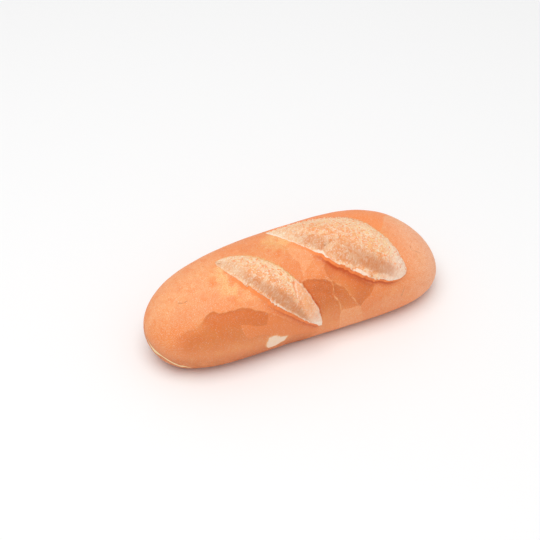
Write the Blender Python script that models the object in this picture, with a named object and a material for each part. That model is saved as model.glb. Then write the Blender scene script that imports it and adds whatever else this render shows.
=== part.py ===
"""A Vietnamese baguette: a short, plump loaf with two diagonal scores that bloomed in the oven.

The loaf lies on its flat base along X, with its narrower end towards -X and its front
flank towards -Y. All sizes are in metres.
"""
import math

import bmesh
import bpy
from mathutils import Matrix, Vector, noise

# The whole loaf
LENGTH = 0.210
WIDTH = 0.082
HEIGHT = 0.060
WAIST_HEIGHT = 0.0246        # where the loaf is widest, above the table
UNDERSIDE_DROP = 0.0342      # how far a round underside would hang below the waist
WIDER_TO_THE_RIGHT = 0.07    # share of the half width gained at +X and lost at -X
BACKWARD_BOW = 0.0045        # the middle lies this far behind the two ends
FLANK_BULGE = 0.9            # below 1 the lower flanks are fuller than an ellipse

# How blunt each end is: 2 is an ellipse, more keeps its girth for longer
LEFT_END = {"front": 4.9, "back": 3.6, "crown": 2.8, "underside": 5.2}
RIGHT_END = {"front": 4.8, "back": 3.7, "crown": 3.6, "underside": 6.6}
LEFT_END_OVERHANG = 0.06     # the end leans out over its foot, as a share of height
RIGHT_END_OVERHANG = 0.45

# Middle of the finished loaf's box in the plan that the sizes above are drawn on
PLAN_MIDDLE = (0.001484, 0.004045, 0.0)

# Slow unevenness of the baked surface
UNEVEN_HEIGHT = 0.0007
UNEVEN_WIDTH = 0.045

# Distance around the loaf is measured from the crown line, forwards, at this radius
GIRTH_RADIUS = 0.040

# The scores, each a leaf from a back tip to a front tip: (along X, around the girth).
# An edge swings out from the straight line between the tips, so far, and is blunter
# at a tip the smaller that tip's power is. The heights of the bloomed crumb and of the
# torn lip run along the leaf in the same way. A crease crosses the bloom from one
# (share along, share across) to another, so wide, and takes so much of its height.
SCORES = {
    "left": {
        "tips": ((-0.0490, -0.0105), (0.0050, 0.0674)),
        "lower_edge": (-0.0094, 0.62, 1.10),
        "upper_edge": (0.0142, 0.62, 0.70),
        "bloom": (0.0030, 0.75, 0.55),
        "lip": (0.0019, 0.70, 0.25),
        "crease": ((0.62, 1.0), (0.80, 0.1), 0.0042, 0.60),
        "swell": 0.0008,
    },
    "right": {
        "tips": ((-0.0058, -0.0237), (0.0725, 0.0426)),
        "lower_edge": (-0.0180, 0.65, 0.45),
        "upper_edge": (0.0250, 0.75, 0.72),
        "bloom": (0.0034, 0.95, 0.45),
        "lip": (0.0022, 1.40, 0.60),
        "crease": ((0.47, 0.5), (0.34, 0.1), 0.0045, 0.45),
        "swell": 0.0008,
    },
}
BLOOM_ROOT = 0.0060          # how deep the torn crumb reaches under the crust
BLOOM_ROOT_SHAPE = (0.5, 0.5)
LOWER_SLOPE = 0.50           # a bloom falls steeply towards its lip
UPPER_SLOPE = 0.85           # and gently to its upper edge
LIP_FOOT = 0.0028            # from a lip's crest out to where it leaves the crust
LIP_GROOVE = 0.0016          # from the crest in to the groove before the bloom
GROOVE_FLOOR = 0.0003
FULL_LIP_LEAF = 0.010        # where the leaf is narrower than this, the lip shrinks
LIP_TEAR = 0.55              # how unevenly the lip is torn, as a share of its height
LIP_TEAR_WIDTH = 0.0065      # length of one tooth of the torn lip
SWELL_REACH = 0.034          # how far the crust round a bloom is pushed up

# Flattened places in the front flank, where the thin crust sank as it cooled:
# middle (along X, around the girth), reach (along, around) and depth
FLATS = (
    ((-0.047, 0.048), (0.027, 0.019), 0.0010),
    ((0.007, 0.049), (0.014, 0.021), 0.0010),
    ((0.025, 0.049), (0.008, 0.014), 0.0007),
    ((0.038, 0.049), (0.009, 0.016), 0.0007),
    ((0.029, 0.074), (0.010, 0.015), 0.0007),
)

# Fineness of the faceted surfaces
BODY_RINGS = 66
BODY_SIDES = 46
SCORE_RINGS = 46
SCORE_SIDES = 34
LIP_SIDES_SHARE = 0.40       # share of a score's upper sides that shape its lip
SLOPE_STEP = 0.002           # step used to find which way the surface faces
SMALLEST = 1e-6              # least width of a leaf, at its very tips

CRUST_COLOUR = (0.83, 0.42, 0.19, 1.0)
CRUST_ROUGHNESS = 0.62


def clear_scene():
    for old in list(bpy.data.objects):
        bpy.data.objects.remove(old, do_unlink=True)


def girth_share(t, side):
    """Share of the full girth left at t, from -1 at the left tip to 1 at the right."""
    power = (LEFT_END if t < 0 else RIGHT_END)[side]
    return math.sqrt(max(0.0, 1.0 - abs(t) ** power))


def skin(t, turn):
    """Point of the unscored loaf. turn: 0 at the back, a quarter at the crown, a half in front."""
    across = math.cos(turn)
    upward = math.sin(turn)
    bulge = 1.0 if upward > 0 else FLANK_BULGE
    reach = math.copysign(abs(across) ** bulge, across)
    climb = abs(upward) ** bulge
    half_width = WIDTH / 2 * (1 + WIDER_TO_THE_RIGHT * t)
    y = half_width * reach * girth_share(t, "back" if across > 0 else "front")
    if upward > 0:
        z = WAIST_HEIGHT + (HEIGHT - WAIST_HEIGHT) * climb * girth_share(t, "crown")
    else:
        z = WAIST_HEIGHT - UNDERSIDE_DROP * climb * girth_share(t, "underside")
    overhang = -LEFT_END_OVERHANG if t < 0 else RIGHT_END_OVERHANG
    x = LENGTH / 2 * t + overhang * (WAIST_HEIGHT - z) * abs(t) ** 3
    return Vector((x, y + BACKWARD_BOW * (1 - t * t), z))


def facing(t, turn):
    """Unit vector straight out of the unscored loaf."""
    t = max(-1 + 2 * SLOPE_STEP, min(1 - 2 * SLOPE_STEP, t))
    along = skin(t + SLOPE_STEP, turn) - skin(t - SLOPE_STEP, turn)
    around = skin(t, turn + SLOPE_STEP) - skin(t, turn - SLOPE_STEP)
    return around.cross(along).normalized()


def humped(hump, u):
    """A hump of so much height, 0 at u = 0 and u = 1, blunter where its power is small."""
    height, start_power, end_power = hump
    peak = start_power / (start_power + end_power)
    top = peak ** start_power * (1 - peak) ** end_power
    u = min(1.0, max(0.0, u))
    return height * u ** start_power * (1 - u) ** end_power / top


def leaf_width(score, u):
    return humped(score["upper_edge"], u) - humped(score["lower_edge"], u)


def leaf_spot(score, u, across):
    """Place on the girth plan, u from tip to tip and across from the lower edge, backwards."""
    start, end = (Vector(tip) for tip in score["tips"])
    chord = end - start
    back = Vector((chord.y, -chord.x)).normalized()
    return start + chord * u + back * (humped(score["lower_edge"], u) + across)


def swelling(spot):
    """How far the crust is pushed up round the blooms."""
    rise = 0.0
    for score in SCORES.values():
        centre = leaf_spot(score, 0.5, leaf_width(score, 0.5) / 2)
        gap = (spot - centre).length / SWELL_REACH
        rise += score["swell"] * math.exp(-gap * gap)
    return rise


def sinking(spot):
    """How far the crust has sunk in its flattened places."""
    depth = 0.0
    for (x0, girth0), (along, around), drop in FLATS:
        gap = ((spot.x - x0) / along) ** 2 + ((spot.y - girth0) / around) ** 2
        depth += drop * max(0.0, 1 - gap * gap)
    return depth


def crust(spot, lift=0.0):
    """Point of the baked crust at a place of the girth plan, lifted out of the surface."""
    t = spot.x / (LENGTH / 2)
    turn = math.pi / 2 + spot.y / GIRTH_RADIUS
    point = skin(t, turn)
    calm_end = 1 - t ** 4
    relief = UNEVEN_HEIGHT * noise.noise(point / UNEVEN_WIDTH) + swelling(spot)
    relief = relief * calm_end - sinking(spot) + lift
    return point + facing(t, turn) * relief - Vector(PLAN_MIDDLE)


def shaped_ball(name, rings, sides, place):
    """A closed ball with its poles on X, each vertex moved to place(share along, angle)."""
    ball = bmesh.new()
    bmesh.ops.create_uvsphere(ball, u_segments=sides, v_segments=rings, radius=1.0,
                              matrix=Matrix.Rotation(math.pi / 2, 4, "Y"))
    for vertex in ball.verts:
        along = max(-1.0, min(1.0, vertex.co.x))
        vertex.co = place(along, math.atan2(vertex.co.z, vertex.co.y))
    bmesh.ops.recalc_face_normals(ball, faces=ball.faces)
    mesh = bpy.data.meshes.new(name)
    ball.to_mesh(mesh)
    ball.free()
    return bpy.data.objects.new(name, mesh)


def make_body():
    """The loaf without its scores, cut off flat where it rests."""

    def place(along, turn):
        return crust(Vector((along * LENGTH / 2, (turn - math.pi / 2) * GIRTH_RADIUS)))

    body = shaped_ball("loaf", BODY_RINGS, BODY_SIDES, place)
    cut = bmesh.new()
    cut.from_mesh(body.data)
    everything = cut.verts[:] + cut.edges[:] + cut.faces[:]
    bmesh.ops.bisect_plane(cut, geom=everything, plane_co=(0, 0, 0), plane_no=(0, 0, -1),
                           dist=1e-5, clear_outer=True)
    rim = [edge for edge in cut.edges if edge.is_boundary]
    bmesh.ops.contextual_create(cut, geom=rim)
    bmesh.ops.recalc_face_normals(cut, faces=cut.faces)
    cut.to_mesh(body.data)
    cut.free()
    return body


def crease_share(score, spot):
    """Share of a bloom's height that its crease leaves at this place."""
    (u0, across0), (u1, across1), reach, depth = score["crease"]
    start = leaf_spot(score, u0, across0 * leaf_width(score, u0))
    line = leaf_spot(score, u1, across1 * leaf_width(score, u1)) - start
    step = (spot - start).dot(line) / line.length_squared
    gap = (spot - start - line * max(0.0, min(1.0, step))).length / reach
    return 1 - depth * math.exp(-gap * gap)


def score_height(score, u, across, foot, groove):
    """Height of a score over the crust: its lip, the groove behind it and the bloom."""
    spot = leaf_spot(score, u, across)
    floor = GROOVE_FLOOR * groove / LIP_GROOVE
    if across < groove:
        tear = 1 + LIP_TEAR * noise.noise(Vector((spot.x, spot.y, 0)) / LIP_TEAR_WIDTH)
        crest = humped(score["lip"], u) * tear
        if across < 0:
            return crest * (1 + across / foot)
        return crest + (floor - crest) * across / groove
    w = 2 * (across - groove) / (leaf_width(score, u) - groove) - 1
    slope = LOWER_SLOPE if w < 0 else UPPER_SLOPE
    pillow = humped(score["bloom"], u) * max(0.0, 1 - w * w) ** slope
    return max(pillow * crease_share(score, spot), floor * (w < 0))


def make_score(side, score):
    """A torn score: the crust's standing lip, a groove and the pillow of bloomed crumb."""

    def place(along, turn):
        u = math.acos(-along) / math.pi
        width = max(leaf_width(score, u), SMALLEST)
        shrink = min(1.0, width / FULL_LIP_LEAF)
        foot = LIP_FOOT * shrink
        groove = LIP_GROOVE * shrink
        if turn <= 0:
            across = (width + foot) * (1 + turn / math.pi) - foot
            root = humped((BLOOM_ROOT, *BLOOM_ROOT_SHAPE), u)
            return crust(leaf_spot(score, u, across), root * math.sin(turn))
        share = 1 - turn / math.pi
        if share < LIP_SIDES_SHARE:
            across = (foot + groove) * share / LIP_SIDES_SHARE - foot
        else:
            share = (share - LIP_SIDES_SHARE) / (1 - LIP_SIDES_SHARE)
            across = groove + (width - groove) * (1 - math.cos(math.pi * share)) / 2
        height = score_height(score, u, across, foot, groove)
        return crust(leaf_spot(score, u, across), height)

    return shaped_ball("score_" + side, SCORE_RINGS, SCORE_SIDES, place)


def crust_material():
    material = bpy.data.materials.new("crust")
    material.use_nodes = True
    shader = material.node_tree.nodes["Principled BSDF"]
    shader.inputs["Base Color"].default_value = CRUST_COLOUR
    shader.inputs["Roughness"].default_value = CRUST_ROUGHNESS
    shader.inputs["Metallic"].default_value = 0.0
    return material


def fuse(body, details):
    """Join the scores to the loaf, so that it is one solid piece of bread."""
    extras = bpy.data.collections.new("scores")
    bpy.context.scene.collection.children.link(extras)
    for piece in details:
        extras.objects.link(piece)
        piece.display_type = "WIRE"
        piece.hide_render = True
    join = body.modifiers.new("join scores", "BOOLEAN")
    join.operation = "UNION"
    join.solver = "EXACT"
    join.operand_type = "COLLECTION"
    join.collection = extras
    depsgraph = bpy.context.evaluated_depsgraph_get()
    joined = bpy.data.meshes.new_from_object(body.evaluated_get(depsgraph))
    body.modifiers.remove(join)
    body.data = joined
    for piece in details:
        bpy.data.objects.remove(piece, do_unlink=True)
    bpy.data.collections.remove(extras)


def build():
    clear_scene()
    collection = bpy.data.collections.new("vietnamese_baguette")
    bpy.context.scene.collection.children.link(collection)
    body = make_body()
    collection.objects.link(body)
    fuse(body, [make_score(side, score) for side, score in SCORES.items()])
    body.data.name = "loaf"
    body.data.materials.clear()
    body.data.materials.append(crust_material())
    body.data.shade_smooth()


build()
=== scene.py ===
"""A Vietnamese baguette: a thin, satin crust with two slanted scores that tore open and bloomed.

The loaf lies along X on its flat base, with its front flank towards -Y. Metres throughout,
but patterns on its surface are drawn in millimetres.
"""
import math

import bmesh
import bpy
import numpy as np
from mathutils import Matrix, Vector, noise


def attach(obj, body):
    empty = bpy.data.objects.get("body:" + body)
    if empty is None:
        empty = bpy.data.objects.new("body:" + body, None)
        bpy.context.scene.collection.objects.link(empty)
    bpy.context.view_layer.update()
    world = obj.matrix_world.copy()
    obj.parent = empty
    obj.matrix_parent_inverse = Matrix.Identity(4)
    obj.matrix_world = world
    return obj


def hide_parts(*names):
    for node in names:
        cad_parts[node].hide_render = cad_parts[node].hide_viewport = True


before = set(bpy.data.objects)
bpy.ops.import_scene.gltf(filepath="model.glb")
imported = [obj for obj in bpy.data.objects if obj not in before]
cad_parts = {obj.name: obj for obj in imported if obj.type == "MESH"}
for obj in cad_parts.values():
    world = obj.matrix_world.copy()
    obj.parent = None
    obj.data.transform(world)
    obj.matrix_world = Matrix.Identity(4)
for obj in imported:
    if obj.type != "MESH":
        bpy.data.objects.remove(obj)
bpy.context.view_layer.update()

# ----------------------------------------
# The crust. One piece of rolled wheat dough, proved and baked on a flat sheet, so that it
# has a thin blistered skin all over and a flat base. The two scores are pockets torn in it,
# with the skin turned up into a ragged lip along the lower side of each.
# ----------------------------------------
LENGTH = 0.210
WIDTH = 0.082
HEIGHT = 0.060
WAIST_HEIGHT = 0.0246        # where the loaf is widest, above the table
UNDERSIDE_DROP = 0.0342      # how far a round underside would hang below the waist
WIDER_TO_THE_RIGHT = 0.07    # share of the half width gained at +X and lost at -X
BACKWARD_BOW = 0.0045        # the middle lies this far behind the two ends
FLANK_BULGE = 0.9            # below 1 the lower flanks are fuller than an ellipse
LEFT_END = {"front": 4.9, "back": 3.6, "crown": 2.8, "underside": 5.2}
RIGHT_END = {"front": 4.8, "back": 3.7, "crown": 3.6, "underside": 6.6}
LEFT_END_OVERHANG = 0.06     # the end leans out over its foot, as a share of height
RIGHT_END_OVERHANG = 0.45
PLAN_MIDDLE = (0.001484, 0.004045, 0.0)        # middle of the loaf's box on the plan
SLOPE_STEP = 0.002           # step used to find which way the surface faces
PER_METRE = 1000.0           # millimetres

# Distance around the loaf is measured from the crown line, forwards, at this radius. A
# place on the skin is its (distance along X, distance around): its place on the plan.
GIRTH_RADIUS = 0.040

# Each score is a leaf on the plan, from a back tip to a front tip. Its edges are humps:
# (height, start power, end power), blunter at a tip the smaller that tip's power is.
# The lip is raised or notched in places: (share of the way, half width in shares, rise).
# The rim is the small rise of the skin along the upper edge, and row picks the noise.
SCORES = {
    "left": {
        "row": 0.0,
        "tips": ((-0.0490, -0.0105), (0.0050, 0.0674)),
        "lower_edge": (-0.0094, 0.62, 1.10),
        "upper_edge": (0.0146, 0.62, 0.82),
        "lip": (0.0019, 0.80, 0.30),
        "flaps": ((0.46, 0.03, 0.0005), (0.80, 0.05, 0.0006), (0.95, 0.03, 0.0008)),
        "rim": (0.0002, 0.50, 0.50),
        "swell": 0.0008,
    },
    "right": {
        "row": 0.5,
        "tips": ((-0.0058, -0.0237), (0.0725, 0.0426)),
        "lower_edge": (-0.0180, 0.65, 0.45),
        "upper_edge": (0.0250, 0.93, 0.79),
        "lip": (0.0024, 1.60, 0.70),
        "flaps": ((0.56, 0.02, 0.0005), (0.63, 0.012, -0.0016), (0.685, 0.020, 0.0012),
                  (0.735, 0.022, 0.0016), (0.780, 0.014, -0.0009), (0.90, 0.02, 0.0005)),
        "rim": (0.0009, 0.50, 1.60),
        "swell": 0.0008,
    },
}
LEAF_STEPS = np.linspace(0.0, 1.0, 1501)     # where the ragged noise along a score is found
TEETH = ((0.0095, 0.0013), (0.0034, 0.0008), (0.0013, 0.0007))   # (length, width) of its teeth
WORN_LENGTH = 0.008          # the teeth come and go over this length
WORN_SHARE = 0.9             # how large they are on average, and how much that changes
WORN_CHANGE = 1.8
WORN_LIMITS = (0.1, 2.0)
LOWER_ROW = 0.1              # each ragged line has noise of its own
UPPER_ROW = 0.2
LIP_ROW = 0.3
SWELL_REACH = 0.034          # how far the crust round a bloom is pushed up
LIP_FOOT = 0.0032            # from the torn edge out to where the lip leaves the crust
LIP_CURL = 1.7               # above 1 the lip turns up more and more towards its edge
LIP_HOLLOW = (0.0004, 0.7, 0.5)            # a hump taken off in front of the lip
HOLLOW_DISTANCE = 0.0050     # from the torn edge out to its middle
HOLLOW_REACH = 0.0020
LIP_TEETH = ((0.0060, 0.30), (0.0020, 0.30))    # (length, share of the lip's height)
RIM_REACH = 0.0014           # how far behind the upper edge the rim dies out

# Panels of the skin that shrank into shallow dents, as outlines on the plan in millimetres, and
# the pale cracks that opened between them. The dark panels are partly a browner tone and partly
# painted shade, where the dents turn from the light
LEFT_PANEL = ((-96, 60), (-92, 40), (-86, 35), (-80, 35), (-75, 32), (-71, 28), (-66, 27), (-62, 30),
              (-57, 31), (-48, 32), (-42, 35), (-34, 40), (-30, 43), (-21, 51), (-11, 61), (-2, 68),
              (4, 76), (-8, 92), (-50, 104), (-88, 96))
NEAR_PANEL = ((-3, 29), (0, 28.6), (4, 29.3), (8, 30.4), (12, 32), (15.6, 34.6), (16.4, 38), (15.6, 42),
              (15.6, 46), (18, 50), (18.9, 54.5), (19.2, 60), (18.4, 67), (15, 73), (9, 75),
              (3, 68), (-2, 55), (-6, 42), (-6, 33))
NEXT_PANEL = ((16.4, 34.6), (19, 36.7), (22, 40), (25.3, 45), (28.5, 51), (31, 57), (31.7, 59.3),
              (25.3, 59.6), (19.2, 58.8), (18.9, 54.5), (18, 50), (15.6, 46), (15.6, 42), (16.4, 38))
LIP_PANEL = ((18, 20.6), (23, 26.5), (27.7, 31.4), (31.7, 35.6), (36.3, 39), (41, 43), (45.5, 45.7),
             (44, 48.5), (41, 52.7), (37, 56), (33.2, 61), (31, 57), (28.5, 51), (25.3, 45),
             (22, 40), (19, 36.7), (16.4, 34.6), (14.5, 29), (14, 24))
TOP_PANEL = ((-5, -26), (5, -50), (45, -52), (80, -40), (93, -27), (84.5, -16.4), (75.4, -0.3),
             (68.8, 7), (60, 10), (30, -8))
FAR_PANEL = ((45.5, 45.7), (58.3, 49.6), (57, 54.5), (55.6, 57.6), (50, 59.3), (45.5, 62.5), (41, 65),
             (38, 68), (34.8, 66.3), (33.2, 61), (37, 56), (41, 52.7), (44, 48.5))
LOW_PANEL = ((19.2, 59.3), (25.3, 59.8), (31.7, 59.3), (33.2, 64), (35.8, 75), (38, 90), (22, 90),
             (19.5, 76), (18.9, 67))
WARM_PANEL = ((-51.5, 44), (-50.2, 51), (-49, 55), (-46, 58.6), (-42.5, 56.6), (-35.6, 58.6),
              (-28.5, 64), (-18, 68), (-10.7, 71), (2, 76), (6, 72), (-10, 60), (-21, 50),
              (-28, 42), (-31.5, 40.5), (-32, 46), (-34, 51), (-40, 50), (-46, 46))
BARE_PATCH = ((-34, 67.4), (-33.2, 62.8), (-28.5, 63.2), (-23.7, 66.7), (-19.7, 68.1), (-21.3, 72.6),
              (-24.5, 74.4), (-27.7, 76.4), (-32.4, 76.8), (-34.5, 71))
BROWNER = ((-31, -15.7), (-19, -11.2), (-8.2, -7), (-2.5, 2.1), (-3.3, 7.3), (-2.5, 12.2), (0, 16.1),
           (-0.8, 22), (-2, 29), (-8, 27), (-12, 19), (-18, 10), (-26, 2), (-32, -5))
LIGHTER = ((-2.5, 2.1), (-3.3, 7.3), (-2.5, 12.2), (0, 16.1), (-0.8, 22), (-1.6, 28.3), (1.6, 22.7),
           (6.6, 18.9), (9.9, 17.1), (10.7, 13.6), (8.2, 9.1), (2.5, 5.2))
CRACKS = (
    ((16.4, 34.6), (16.4, 38), (15.6, 42), (15.6, 46), (18, 50), (18.9, 54.5), (19.2, 60), (18.6, 67),
     (19.5, 76), (22, 90)),
    ((45.5, 45.7), (44, 48.5), (41, 52.7), (37, 56), (33.2, 61), (34.2, 66), (35.8, 75), (38, 90)),
    ((28.5, 51), (31, 57), (33.2, 61)),
    ((52, 56.2), (52, 64), (50.6, 72.6)),
    ((57.6, 63.2), (55, 68.8), (52, 75.8)),
    ((76.5, 47.8), (79.3, 51.7)),
    ((84.5, -16.4), (75.4, -0.3), (68.8, 7)),
)
SPLITS = (
    ((85.9, 23.4), (85.4, 27.2), (87.8, 29), (91.6, 32.5)),
    ((67.6, 55.5), (65.7, 61), (64.4, 64.2)),
    ((-84, 7.3), (-81.4, 10), (-78, 10.6)),
    ((-67, -7), (-65.4, -5.5)),
    ((-58.5, -12.5), (-57, -11.4)),
)
SEAM_LINE = ((-104, 94), (-103, 86), (-101.3, 80), (-98.5, 80), (-95.4, 82), (-90.8, 84.5),
             (-84, 90))
PANEL_DEPTH = 0.0006         # how far the darker panels are sunk
PANEL_STEP = 0.0022          # over this distance inside their outlines
PANEL_WANDER = ((0.0090, 0.0007), (0.0030, 0.0003))     # (length, width) of an outline's wavering

HALF_WANDER = 0.5            # share of it along the lip, the warm panels and the top
LEAST_WANDER = 0.3           # and along the pale and brown ones and the splits

UNEVEN = ((0.045, 0.0007), (0.012, 0.00022), (0.0035, 0.00005))   # (width, height)
CALM_ENDS = 4                # the larger, the nearer to its tips the loaf stays uneven
BODY_RINGS = 400
BODY_SIDES = 224
END_CROWDING = 8             # rings stand evenly but for the tips, where they draw together
SIDE_CROWDING = (0.33, math.radians(113))       # sides stand closest at this turn

POCKET_STEPS = 424           # cuts across a pocket
POCKET_HEIGHT = 0.010        # its walls stand this far over the crust
POCKET_DEPTH = 0.0042        # and its floor lies this far under it
SMALLEST = 1e-5              # least width of a leaf, at its very tips
WELD = 1e-7                  # vertices nearer than this become one
ON_THE_TABLE = 1e-5          # and nearer than this to the table lie on it


def girth_share(t, side):
    """Share of the full girth left at t, from -1 at the left tip to 1 at the right."""
    power = np.where(t < 0, LEFT_END[side], RIGHT_END[side])
    return np.sqrt(np.maximum(0.0, 1.0 - np.abs(t) ** power))


def skin(t, turn):
    """Points of the plain loaf. turn: 0 at the back, a quarter at the crown, a half in front."""
    across = np.cos(turn)
    upward = np.sin(turn)
    bulge = np.where(upward > 0, 1.0, FLANK_BULGE)
    reach = np.sign(across) * np.abs(across) ** bulge
    climb = np.abs(upward) ** bulge
    half_width = WIDTH / 2 * (1 + WIDER_TO_THE_RIGHT * t)
    ends = np.where(across > 0, girth_share(t, "back"), girth_share(t, "front"))
    y = half_width * reach * ends
    over = (HEIGHT - WAIST_HEIGHT) * climb * girth_share(t, "crown")
    under = UNDERSIDE_DROP * climb * girth_share(t, "underside")
    z = WAIST_HEIGHT + np.where(upward > 0, over, -under)
    overhang = np.where(t < 0, -LEFT_END_OVERHANG, RIGHT_END_OVERHANG)
    x = LENGTH / 2 * t + overhang * (WAIST_HEIGHT - z) * np.abs(t) ** 3
    return np.stack([x, y + BACKWARD_BOW * (1 - t * t), z], axis=1)


def facing(t, turn):
    """Unit vectors straight out of the plain loaf."""
    t = np.clip(t, -1 + 2 * SLOPE_STEP, 1 - 2 * SLOPE_STEP)
    along = skin(t + SLOPE_STEP, turn) - skin(t - SLOPE_STEP, turn)
    around = skin(t, turn + SLOPE_STEP) - skin(t, turn - SLOPE_STEP)
    out = np.cross(around, along)
    return out / np.linalg.norm(out, axis=1, keepdims=True)


def rough(points, size):
    """Smooth noise, about -1 to 1, with lumps of this size."""
    return np.array([noise.noise(Vector(point) / size) for point in points])


def on_plan(spot):
    """Places on the plan as points of a flat sheet, to draw noise from."""
    return np.column_stack([spot, np.zeros(len(spot))])


def humped(hump, u):
    """A hump of so much height, 0 at u = 0 and u = 1, blunter where its power is small."""
    height, start_power, end_power = hump
    peak = start_power / (start_power + end_power)
    top = peak ** start_power * (1 - peak) ** end_power
    u = np.clip(u, 0.0, 1.0)
    return height * u ** start_power * (1 - u) ** end_power / top


def leaf_axes(score):
    """A score's back tip, the way to its front tip, and the unit vector across it, backwards."""
    start, end = (np.array(tip) for tip in score["tips"])
    chord = end - start
    return start, chord, np.array([chord[1], -chord[0]]) / np.hypot(*chord)


def ragged(score, u, row, sizes):
    """Noise along a score, the same for the same row and u: so high for each length."""
    length = np.hypot(*leaf_axes(score)[1])
    flat = 0 * LEAF_STEPS
    line = np.column_stack([LEAF_STEPS * length, flat + row + score["row"], flat])
    worn = np.clip(WORN_SHARE + WORN_CHANGE * rough(line, WORN_LENGTH), *WORN_LIMITS)
    return np.interp(u, LEAF_STEPS, worn * sum(height * rough(line, size) for size, height in sizes))


def torn_edge(score, side, u):
    """How far back of the straight way between the tips a torn edge lies, teeth and all."""
    row = LOWER_ROW if side == "lower_edge" else UPPER_ROW
    calm = np.sqrt(np.clip(4 * u * (1 - u), 0.0, 1.0))
    return humped(score[side], u) + calm * ragged(score, u, row, TEETH)


def leaf_width(score, u):
    width = torn_edge(score, "upper_edge", u) - torn_edge(score, "lower_edge", u)
    return np.maximum(width, SMALLEST)


def leaf_spot(score, u, across):
    """Places on the plan, u from tip to tip and across from the lower edge, backwards."""
    start, chord, back = leaf_axes(score)
    off = torn_edge(score, "lower_edge", u) + across
    return start + np.outer(u, chord) + np.outer(off, back)


def leaf_place(score, spot):
    """How far along a score, 0 to 1, and how far back from its lower edge each place lies."""
    start, chord, back = leaf_axes(score)
    u = (spot - start) @ chord / (chord @ chord)
    return u, (spot - start) @ back - torn_edge(score, "lower_edge", u)


def from_line(spot, line):
    """Distance on the plan from a broken line, whose corners are in millimetres."""
    near = np.full(len(spot), np.inf)
    corners = np.array(line) / PER_METRE
    for start, end in zip(corners[:-1], corners[1:]):
        step = end - start
        share = np.clip((spot - start) @ step / (step @ step), 0.0, 1.0)
        near = np.minimum(near, np.hypot(*(spot - start - np.outer(share, step)).T))
    return near


def from_outline(spot, outline):
    """Distance on the plan from a closed outline, negative inside it."""
    closed = (*outline, outline[0])
    x, y = spot.T * PER_METRE
    inside = np.zeros(len(spot), dtype=bool)
    for (x0, y0), (x1, y1) in zip(closed[:-1], closed[1:]):
        if y0 != y1:
            inside ^= ((y0 > y) != (y1 > y)) & (x < x0 + (y - y0) * (x1 - x0) / (y1 - y0))
    return np.where(inside, -1.0, 1.0) * from_line(spot, closed)


def from_any(spot, measure, shapes):
    return np.minimum.reduce([measure(spot, shape) for shape in shapes])


def panels(spot):
    """Distances, in pairs, from the panels, cracks and patches of the skin."""
    wander = sum(width * rough(on_plan(spot), size) for size, width in PANEL_WANDER)
    dark = from_any(spot, from_outline, (LEFT_PANEL, NEAR_PANEL, NEXT_PANEL)) + wander
    cracks = from_any(spot, from_line, CRACKS)
    lip_side = from_outline(spot, LIP_PANEL) + wander * HALF_WANDER
    warm = from_any(spot, from_outline, (FAR_PANEL, WARM_PANEL)) + wander * HALF_WANDER
    pale = from_any(spot, from_outline, (LOW_PANEL, LIGHTER)) + wander * LEAST_WANDER
    top = from_outline(spot, TOP_PANEL) + wander * HALF_WANDER
    browner = from_outline(spot, BROWNER) + wander * LEAST_WANDER
    bare = from_outline(spot, BARE_PATCH) + wander
    splits = from_any(spot, from_line, SPLITS) + wander * LEAST_WANDER
    seam = from_line(spot, SEAM_LINE)
    return {
        "dark_cracks": np.column_stack([dark, cracks]),
        "lip_warm": np.column_stack([lip_side, warm]),
        "pale_bare": np.column_stack([pale, bare]),
        "splits_seam": np.column_stack([splits, seam]),
        "top_browner": np.column_stack([top, browner]),
    }


def crust(spot, lift=0.0):
    """Points of the baked crust at places of the plan, lifted out of the surface."""
    t = spot[:, 0] / (LENGTH / 2)
    turn = math.pi / 2 + spot[:, 1] / GIRTH_RADIUS
    point = skin(t, turn)
    relief = np.zeros(len(t))
    for width, height in UNEVEN:
        relief += height * rough(point, width)
    for score in SCORES.values():
        start, chord, back = leaf_axes(score)
        middle = start + chord / 2 + back * (score["lower_edge"][0] + score["upper_edge"][0]) / 2
        gap = np.hypot(*(spot - middle).T) / SWELL_REACH
        relief += score["swell"] * np.exp(-gap * gap)
    relief *= 1 - t ** CALM_ENDS
    sunk = from_any(spot, from_outline, (LEFT_PANEL, NEAR_PANEL, NEXT_PANEL, LIP_PANEL))
    inside = np.clip(-sunk / PANEL_STEP, 0.0, 1.0)
    relief -= PANEL_DEPTH * inside * inside * (3 - 2 * inside)
    return point + facing(t, turn) * (relief + lift)[:, None] - np.array(PLAN_MIDDLE)


def lip_crest(score, u):
    """Height of the lip's ragged edge."""
    crest = humped(score["lip"], u) * (1 + ragged(score, u, LIP_ROW, LIP_TEETH))
    for share, reach, rise in score["flaps"]:
        crest += rise * np.exp(-((u - share) / reach) ** 2)
    return np.maximum(crest, 0.0)


def lips(spot):
    """How far the torn edges of the scores stand out of the crust."""
    rise = np.zeros(len(spot))
    for score in SCORES.values():
        u, across = leaf_place(score, spot)
        beyond = across - leaf_width(score, u)
        lower_side = across + beyond < 0
        slope = np.clip(1 + across / LIP_FOOT, 0.0, 1.0) ** LIP_CURL
        rise += lip_crest(score, u) * slope * lower_side
        rise -= humped(LIP_HOLLOW, u) * np.exp(-((across + HOLLOW_DISTANCE) / HOLLOW_REACH) ** 2)
        rim = humped(score["rim"], u) * np.exp(-np.maximum(0.0, beyond) / RIM_REACH)
        rise += rim * ~lower_side
    return rise


def mesh_object(name, shape, *materials):
    """Makes an object of a bmesh."""
    mesh = bpy.data.meshes.new(name)
    shape.to_mesh(mesh)
    shape.free()
    for material in materials:
        mesh.materials.append(material)
    made = bpy.data.objects.new(name, mesh)
    bpy.context.scene.collection.objects.link(made)
    return made


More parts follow.
